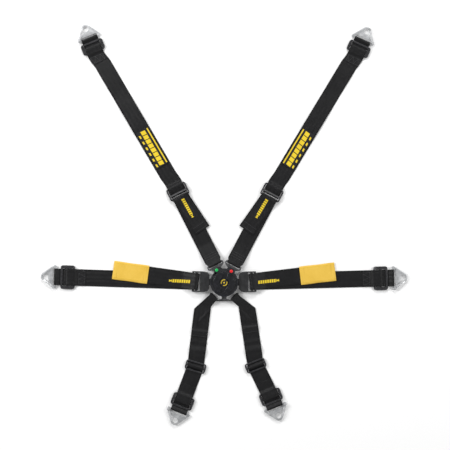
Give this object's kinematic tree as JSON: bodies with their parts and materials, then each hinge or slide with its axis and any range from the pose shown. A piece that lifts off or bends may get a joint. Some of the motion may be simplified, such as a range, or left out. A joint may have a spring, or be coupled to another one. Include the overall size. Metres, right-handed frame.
{
  "type": "racing harness",
  "caption": "Six-point racing harness with a round cam-lock buckle, adjustable webbing straps and snap hooks.",
  "frame": {"origin": "on the buckle's axis at its flat back face, which lies on the surface", "axes": "+Z is the front of the buckle, +Y runs up between the shoulder straps, +X is towards the lap strap on the viewer's right"},
  "size_m": [1.0987, 1.1998, 0.0308],
  "materials": {
    "case": "satin moulded, fine grain",
    "case_inner": "cast, anodised dark",
    "knob": "smooth, slightly glossy",
    "badge": "black disc with yellow marks",
    "bright_steel": "zinc plated",
    "green": "glossy",
    "red": "glossy",
    "dark_metal": "black e-coat",
    "grey_metal": "zinc plated, dull",
    "knurl": "knurled, black oxide",
    "black_metal": "black e-coat, semi-gloss",
    "webbing": "black polyester, ribbed weave with a slight sheen",
    "tab": "bright yellow woven tab",
    "hook_steel": "zinc plated, satin",
    "gate_steel": "zinc plated, ribbed"
  },
  "bodies": {
    "buckle": {"back_plate": "case", "guide_body": "case_inner", "housing": "case", "bolt_springs": "bright_steel", "knob_return_spring": "bright_steel", "case_screws": "bright_steel", "fixed_tongue_pin": "bright_steel", "marker_green": "green", "marker_red": "red", "lap_tongue_right": "dark_metal", "lap_bar_right": "knurl"},
    "knob": {"turn_knob": "knob", "knob_badge": "badge", "spindle": "bright_steel"},
    "lock": {"lock_plate": "bright_steel", "locking_bolts": "bright_steel"},
    "crotch_tongue": {"crotch_tongue": "dark_metal"},
    "lap_tongue_left": {"lap_tongue_left": "dark_metal", "lap_bar_left": "knurl"},
    "shoulder_tongue_left": {"shoulder_tongue_left": "grey_metal"},
    "lower_strap_left": {"lower_strap_left": "webbing"},
    "shoulder_tail_left": {"shoulder_tail_left": "webbing"},
    "shoulder_upper_left": {"adjuster_frame_left": "black_metal", "adjuster_bar_left": "knurl", "upper_strap_left": "webbing", "shoulder_slide_left": "black_metal"},
    "lap_strap_left": {"lap_strap_left": "webbing", "lap_slide_left": "black_metal"},
    "lap_tail_left": {"lap_tail_left": "webbing", "pull_tab_left": "tab"},
    "crotch_strap_left": {"crotch_strap_left": "webbing", "crotch_slide_left": "black_metal", "crotch_anchor_slide_left": "black_metal"},
    "shoulder_tongue_right": {"shoulder_tongue_right": "grey_metal"},
    "lower_strap_right": {"lower_strap_right": "webbing"},
    "shoulder_tail_right": {"shoulder_tail_right": "webbing"},
    "shoulder_upper_right": {"adjuster_frame_right": "black_metal", "adjuster_bar_right": "knurl", "upper_strap_right": "webbing", "shoulder_slide_right": "black_metal"},
    "lap_strap_right": {"lap_strap_right": "webbing", "lap_slide_right": "black_metal"},
    "lap_tail_right": {"lap_tail_right": "webbing", "pull_tab_right": "tab"},
    "crotch_strap_right": {"crotch_strap_right": "webbing", "crotch_slide_right": "black_metal", "crotch_anchor_slide_right": "black_metal"},
    "shoulder_hook_left": {"shoulder_hook_left": "hook_steel"},
    "shoulder_gate_left": {"shoulder_gate_left": "gate_steel"},
    "lap_hook_left": {"lap_hook_left": "hook_steel"},
    "lap_gate_left": {"lap_gate_left": "gate_steel"},
    "crotch_hook_left": {"crotch_hook_left": "hook_steel"},
    "crotch_gate_left": {"crotch_gate_left": "gate_steel"},
    "shoulder_hook_right": {"shoulder_hook_right": "hook_steel"},
    "shoulder_gate_right": {"shoulder_gate_right": "gate_steel"},
    "lap_hook_right": {"lap_hook_right": "hook_steel"},
    "lap_gate_right": {"lap_gate_right": "gate_steel"},
    "crotch_hook_right": {"crotch_hook_right": "hook_steel"},
    "crotch_gate_right": {"crotch_gate_right": "gate_steel"}
  },
  "joints": [
    {"name": "knob_turn", "type": "hinge", "parent": "buckle", "child": "knob", "pos_m": [0, 0, 0.0234], "axis": [0, 0, 1], "range_deg": [-50, 0]},
    {"name": "lock_lift", "type": "slide", "parent": "buckle", "child": "lock", "axis": [0, 0, 1], "range_m": [-0.004, 0], "deforming": ["bolt_springs"]},
    {"name": "lap_tongue_left_pull", "type": "slide", "parent": "buckle", "child": "lap_tongue_left", "axis": [-0.9995, 0.0332, 0], "range_m": [0, 0.04]},
    {"name": "crotch_tongue_pull", "type": "slide", "parent": "buckle", "child": "crotch_tongue", "axis": [0, -1, 0], "range_m": [0, 0.04]},
    {"name": "shoulder_tongue_left_pull", "type": "slide", "parent": "buckle", "child": "shoulder_tongue_left", "axis": [-0.454, 0.891, 0], "range_m": [0, 0.04]},
    {"name": "shoulder_strap_left_fold", "type": "hinge", "parent": "shoulder_tongue_left", "child": "lower_strap_left", "pos_m": [-0.02815, 0.05524, 0.00925], "axis": [0.891, 0.454, 0], "range_deg": [-60, 60]},
    {"name": "shoulder_adjuster_left_tilt", "type": "hinge", "parent": "lower_strap_left", "child": "shoulder_upper_left", "pos_m": [-0.13075, 0.25661, 0.00462], "axis": [0.891, 0.454, 0], "range_deg": [-40, 40]},
    {"name": "shoulder_tail_left_lift", "type": "hinge", "parent": "lower_strap_left", "child": "shoulder_tail_left", "pos_m": [-0.13075, 0.25661, 0.00462], "axis": [-0.891, -0.454, 0], "range_deg": [0, 60]},
    {"name": "lap_strap_left_fold", "type": "hinge", "parent": "lap_tongue_left", "child": "lap_strap_left", "pos_m": [-0.08295, 0.00275, 0.00925], "axis": [0.0332, 0.9995, 0], "range_deg": [-60, 0]},
    {"name": "lap_tail_left_lift", "type": "hinge", "parent": "lap_tongue_left", "child": "lap_tail_left", "pos_m": [-0.08295, 0.00275, 0.00925], "axis": [0.0332, 0.9995, 0], "range_deg": [0, 60]},
    {"name": "crotch_strap_left_swing", "type": "hinge", "parent": "crotch_tongue", "child": "crotch_strap_left", "pos_m": [-0.031, -0.0432, 0.00925], "axis": [-0.6947, 0.7193, 0], "range_deg": [-45, 45]},
    {"name": "shoulder_tongue_right_pull", "type": "slide", "parent": "buckle", "child": "shoulder_tongue_right", "axis": [0.4695, 0.8829, 0], "range_m": [0, 0.04]},
    {"name": "shoulder_strap_right_fold", "type": "hinge", "parent": "shoulder_tongue_right", "child": "lower_strap_right", "pos_m": [0.02911, 0.05474, 0.00925], "axis": [0.8829, -0.4695, 0], "range_deg": [-60, 60]},
    {"name": "shoulder_adjuster_right_tilt", "type": "hinge", "parent": "lower_strap_right", "child": "shoulder_upper_right", "pos_m": [0.13521, 0.25429, 0.00462], "axis": [0.8829, -0.4695, 0], "range_deg": [-40, 40]},
    {"name": "shoulder_tail_right_lift", "type": "hinge", "parent": "lower_strap_right", "child": "shoulder_tail_right", "pos_m": [0.13521, 0.25429, 0.00462], "axis": [-0.8829, 0.4695, 0], "range_deg": [0, 60]},
    {"name": "lap_strap_right_fold", "type": "hinge", "parent": "buckle", "child": "lap_strap_right", "pos_m": [0.08297, 0.00217, 0.00925], "axis": [0.0262, -0.9997, 0], "range_deg": [-60, 0]},
    {"name": "lap_tail_right_lift", "type": "hinge", "parent": "buckle", "child": "lap_tail_right", "pos_m": [0.08297, 0.00217, 0.00925], "axis": [0.0262, -0.9997, 0], "range_deg": [0, 60]},
    {"name": "crotch_strap_right_swing", "type": "hinge", "parent": "crotch_tongue", "child": "crotch_strap_right", "pos_m": [0.031, -0.0432, 0.00925], "axis": [-0.6947, -0.7193, 0], "range_deg": [-45, 45]},
    {"name": "shoulder_hook_left_pivot", "type": "hinge", "parent": "shoulder_upper_left", "child": "shoulder_hook_left", "pos_m": [-0.40338, 0.73049, 0.00462], "axis": [0.9272, 0.3746, 0], "range_deg": [-45, 60]},
    {"name": "shoulder_gate_left_open", "type": "hinge", "parent": "shoulder_hook_left", "child": "shoulder_gate_left", "pos_m": [-0.43423, 0.72385, 0.00632], "axis": [0, 0, -1], "range_deg": [0, 22], "stiffness_Nm_per_rad": 0.05, "springref_deg": -17.19},
    {"name": "lap_hook_left_pivot", "type": "hinge", "parent": "lap_strap_left", "child": "lap_hook_left", "pos_m": [-0.50532, 0.01676, 0.00462], "axis": [0.0332, 0.9995, 0], "range_deg": [-45, 60]},
    {"name": "lap_gate_left_open", "type": "hinge", "parent": "lap_hook_left", "child": "lap_gate_left", "pos_m": [-0.51175, -0.01414, 0.00632], "axis": [0, 0, -1], "range_deg": [0, 22], "stiffness_Nm_per_rad": 0.05, "springref_deg": -17.19},
    {"name": "crotch_hook_left_pivot", "type": "hinge", "parent": "crotch_strap_left", "child": "crotch_hook_left", "pos_m": [-0.13581, -0.38556, 0.00462], "axis": [-0.9311, 0.3649, 0], "range_deg": [-45, 60]},
    {"name": "crotch_gate_left_open", "type": "hinge", "parent": "crotch_hook_left", "child": "crotch_gate_left", "pos_m": [-0.16674, -0.37924, 0.00632], "axis": [0, 0, 1], "range_deg": [0, 22], "stiffness_Nm_per_rad": 0.05, "springref_deg": -17.19},
    {"name": "shoulder_hook_right_pivot", "type": "hinge", "parent": "shoulder_upper_right", "child": "shoulder_hook_right", "pos_m": [0.41465, 0.72434, 0.00462], "axis": [0.9063, -0.4226, 0], "range_deg": [-45, 60]},
    {"name": "shoulder_gate_right_open", "type": "hinge", "parent": "shoulder_hook_right", "child": "shoulder_gate_right", "pos_m": [0.44512, 0.71609, 0.00632], "axis": [0, 0, 1], "range_deg": [0, 22], "stiffness_Nm_per_rad": 0.05, "springref_deg": -17.19},
    {"name": "lap_hook_right_pivot", "type": "hinge", "parent": "lap_strap_right", "child": "lap_hook_right", "pos_m": [0.50543, 0.01324, 0.00462], "axis": [0.0262, -0.9997, 0], "range_deg": [-45, 60]},
    {"name": "lap_gate_right_open", "type": "hinge", "parent": "lap_hook_right", "child": "lap_gate_right", "pos_m": [0.51164, -0.01771, 0.00632], "axis": [0, 0, 1], "range_deg": [0, 22], "stiffness_Nm_per_rad": 0.05, "springref_deg": -17.19},
    {"name": "crotch_hook_right_pivot", "type": "hinge", "parent": "crotch_strap_right", "child": "crotch_hook_right", "pos_m": [0.15201, -0.37194, 0.00462], "axis": [-0.9272, -0.3746, 0], "range_deg": [-45, 60]},
    {"name": "crotch_gate_right_open", "type": "hinge", "parent": "crotch_hook_right", "child": "crotch_gate_right", "pos_m": [0.18287, -0.3653, 0.00632], "axis": [0, 0, -1], "range_deg": [0, 22], "stiffness_Nm_per_rad": 0.05, "springref_deg": -17.19}
  ],
  "couplings": [
    {"joint": "lock_lift", "follows": "knob_turn", "m_per_rad": 0.0045837}
  ]
}
